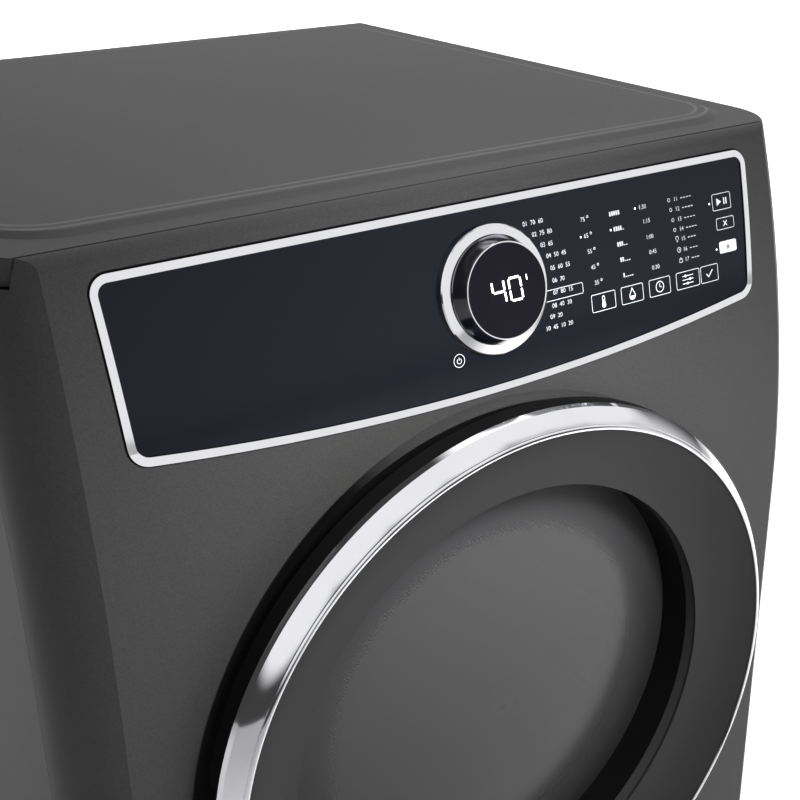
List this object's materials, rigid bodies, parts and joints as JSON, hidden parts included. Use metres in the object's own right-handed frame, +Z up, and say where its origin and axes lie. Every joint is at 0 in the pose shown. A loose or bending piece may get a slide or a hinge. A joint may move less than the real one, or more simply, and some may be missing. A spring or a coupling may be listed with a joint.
{
  "type": "clothes dryer",
  "caption": "Full-size front-loading clothes dryer with a leaning wrapped front, a raised-edge top, a slanted control panel with dial and keys, and a round windowed door",
  "frame": {"origin": "centre of the bounding box's base, on the floor", "axes": "+X to the right seen from the front, +Y to the back, +Z up"},
  "size_m": [0.686, 0.813, 0.965],
  "materials": {
    "cabinet_paint": "satin metallic grey paint",
    "galvanised": "zinc-coated sheet",
    "bright_chrome": "polished",
    "smoked_chrome": "smoked, polished",
    "console_navy": "glossy",
    "key_white": "glossy",
    "display_black": "clear glossy window over black",
    "black_plastic": "fine grain",
    "door_satin": "satin metallic",
    "tinted_glass": "tinted, clear",
    "lamp_glass": "frosted",
    "liner_grey": "fine grain",
    "filter_grey": "fine grain",
    "board_green": "solder mask",
    "dark_rubber": "matte",
    "grey_felt": "pressed felt",
    "bright_steel": "brushed",
    "motor_grey": "cast and coated",
    "heater_wire": "dull resistance wire",
    "valve_brass": "turned"
  },
  "bodies": {
    "cabinet": {"left_side_panel": "cabinet_paint", "right_side_panel": "cabinet_paint", "top_panel": "cabinet_paint", "front_panel": "cabinet_paint", "base_pan": "galvanised", "rear_panel": "galvanised", "front_bulkhead": "galvanised", "rear_bulkhead": "galvanised", "exhaust_duct": "galvanised", "heater_housing": "galvanised", "hinge_bracket": "galvanised", "cord_plate": "galvanised", "console_trim": "bright_chrome", "knob_bezel": "bright_chrome", "console_fascia": "console_navy", "display_lens": "display_black", "console_housing": "black_plastic", "door_catch": "black_plastic", "blower_housing": "black_plastic", "lint_duct": "black_plastic", "drum_lamp": "lamp_glass", "control_board": "board_green", "drum_belt": "dark_rubber", "drum_felts": "grey_felt", "roller_axles": "bright_steel", "moisture_bars": "bright_steel", "motor": "motor_grey", "heating_coil": "heater_wire", "water_valve": "valve_brass"},
    "door": {"door_ring": "bright_chrome", "door_face": "door_satin", "door_shell": "black_plastic", "door_glass": "tinted_glass", "door_liner": "liner_grey", "door_gasket": "dark_rubber", "door_strike": "bright_steel", "hinge_pin": "bright_steel"},
    "knob": {"selector_knob": "smoked_chrome"},
    "drum": {"drum_shell": "bright_steel", "drum_baffles": "liner_grey"},
    "left_roller": {"left_roller": "dark_rubber"},
    "right_roller": {"right_roller": "dark_rubber"},
    "rotor": {"motor_shaft": "bright_steel", "blower_wheel": "black_plastic"},
    "idler_arm": {"idler_arm": "galvanised"},
    "idler_pulley": {"idler_pulley": "black_plastic"},
    "lint_filter": {"lint_filter": "filter_grey"},
    "temp_key": {"temp_key": "console_navy"},
    "dry_level_key": {"dry_level_key": "console_navy"},
    "dry_time_key": {"dry_time_key": "console_navy"},
    "options_key": {"options_key": "console_navy"},
    "select_key": {"select_key": "console_navy"},
    "start_key": {"start_key": "console_navy"},
    "cancel_key": {"cancel_key": "console_navy"},
    "favourite_key": {"favourite_key": "key_white"},
    "power_key": {"power_key": "console_navy"},
    "front_left_foot": {"front_left_foot": "dark_rubber"},
    "front_right_foot": {"front_right_foot": "dark_rubber"},
    "rear_left_foot": {"rear_left_foot": "dark_rubber"},
    "rear_right_foot": {"rear_right_foot": "dark_rubber"}
  },
  "joints": [
    {"name": "door_hinge", "type": "hinge", "parent": "cabinet", "child": "door", "pos_m": [0.256, -0.3795, 0.5433], "axis": [0, 0, 1], "range_deg": [0, 105]},
    {"name": "knob_turn", "type": "hinge", "parent": "cabinet", "child": "knob", "pos_m": [0.012, -0.33128, 0.884], "axis": [0, -0.9731, 0.2303], "continuous": true},
    {"name": "temp_press", "type": "slide", "parent": "cabinet", "child": "temp_key", "axis": [0, 0.9792, -0.2027], "range_m": [0, 0.0008], "stiffness_N_per_m": 200, "springref_m": -0.0012},
    {"name": "dry_level_press", "type": "slide", "parent": "cabinet", "child": "dry_level_key", "axis": [0, 0.9792, -0.2027], "range_m": [0, 0.0008], "stiffness_N_per_m": 200, "springref_m": -0.0012},
    {"name": "dry_time_press", "type": "slide", "parent": "cabinet", "child": "dry_time_key", "axis": [0, 0.9792, -0.2027], "range_m": [0, 0.0008], "stiffness_N_per_m": 200, "springref_m": -0.0012},
    {"name": "options_press", "type": "slide", "parent": "cabinet", "child": "options_key", "axis": [0, 0.9792, -0.2027], "range_m": [0, 0.0008], "stiffness_N_per_m": 200, "springref_m": -0.0012},
    {"name": "select_press", "type": "slide", "parent": "cabinet", "child": "select_key", "axis": [0, 0.9792, -0.2027], "range_m": [0, 0.0008], "stiffness_N_per_m": 200, "springref_m": -0.0012},
    {"name": "start_press", "type": "slide", "parent": "cabinet", "child": "start_key", "axis": [0, 0.9671, -0.2545], "range_m": [0, 0.0008], "stiffness_N_per_m": 200, "springref_m": -0.0012},
    {"name": "cancel_press", "type": "slide", "parent": "cabinet", "child": "cancel_key", "axis": [0, 0.9713, -0.2378], "range_m": [0, 0.0008], "stiffness_N_per_m": 200, "springref_m": -0.0012},
    {"name": "favourite_press", "type": "slide", "parent": "cabinet", "child": "favourite_key", "axis": [0, 0.9755, -0.2198], "range_m": [0, 0.0008], "stiffness_N_per_m": 200, "springref_m": -0.0012},
    {"name": "power_press", "type": "slide", "parent": "cabinet", "child": "power_key", "axis": [0, 0.9821, -0.1884], "range_m": [0, 0.0008], "stiffness_N_per_m": 200, "springref_m": -0.0012},
    {"name": "drum_spin", "type": "hinge", "parent": "cabinet", "child": "drum", "pos_m": [0, 0, 0.5433], "axis": [0, 1, 0], "continuous": true},
    {"name": "left_roller_spin", "type": "hinge", "parent": "cabinet", "child": "left_roller", "pos_m": [-0.19081, 0.27, 0.24947], "axis": [0, 1, 0], "continuous": true},
    {"name": "right_roller_spin", "type": "hinge", "parent": "cabinet", "child": "right_roller", "pos_m": [0.19081, 0.27, 0.24947], "axis": [0, 1, 0], "continuous": true},
    {"name": "rotor_spin", "type": "hinge", "parent": "cabinet", "child": "rotor", "pos_m": [0.074, 0, 0.126], "axis": [0, 1, 0], "continuous": true},
    {"name": "idler_swing", "type": "hinge", "parent": "cabinet", "child": "idler_arm", "pos_m": [0.024, 0, 0.092], "axis": [0, 1, 0], "range_deg": [0, 10], "stiffness_Nm_per_rad": 2, "springref_deg": -20.05},
    {"name": "idler_pulley_spin", "type": "hinge", "parent": "idler_arm", "child": "idler_pulley", "pos_m": [-0.008, 0, 0.176], "axis": [0, 1, 0], "continuous": true},
    {"name": "filter_lift", "type": "slide", "parent": "cabinet", "child": "lint_filter", "axis": [0, 0, -1], "range_m": [-0.233, 0]},
    {"name": "front_left_foot_turn", "type": "hinge", "parent": "cabinet", "child": "front_left_foot", "pos_m": [-0.286, -0.2475, 0.02], "axis": [0, 0, 1], "continuous": true},
    {"name": "front_right_foot_turn", "type": "hinge", "parent": "cabinet", "child": "front_right_foot", "pos_m": [0.286, -0.2475, 0.02], "axis": [0, 0, 1], "continuous": true},
    {"name": "rear_left_foot_turn", "type": "hinge", "parent": "cabinet", "child": "rear_left_foot", "pos_m": [-0.286, 0.2645, 0.02], "axis": [0, 0, 1], "continuous": true},
    {"name": "rear_right_foot_turn", "type": "hinge", "parent": "cabinet", "child": "rear_right_foot", "pos_m": [0.286, 0.2645, 0.02], "axis": [0, 0, 1], "continuous": true}
  ],
  "couplings": [
    {"joint": "left_roller_spin", "follows": "drum_spin", "ratio": -10.667},
    {"joint": "right_roller_spin", "follows": "drum_spin", "ratio": -10.667},
    {"joint": "rotor_spin", "follows": "drum_spin", "ratio": 32.523},
    {"joint": "idler_pulley_spin", "follows": "drum_spin", "ratio": 14.333}
  ]
}
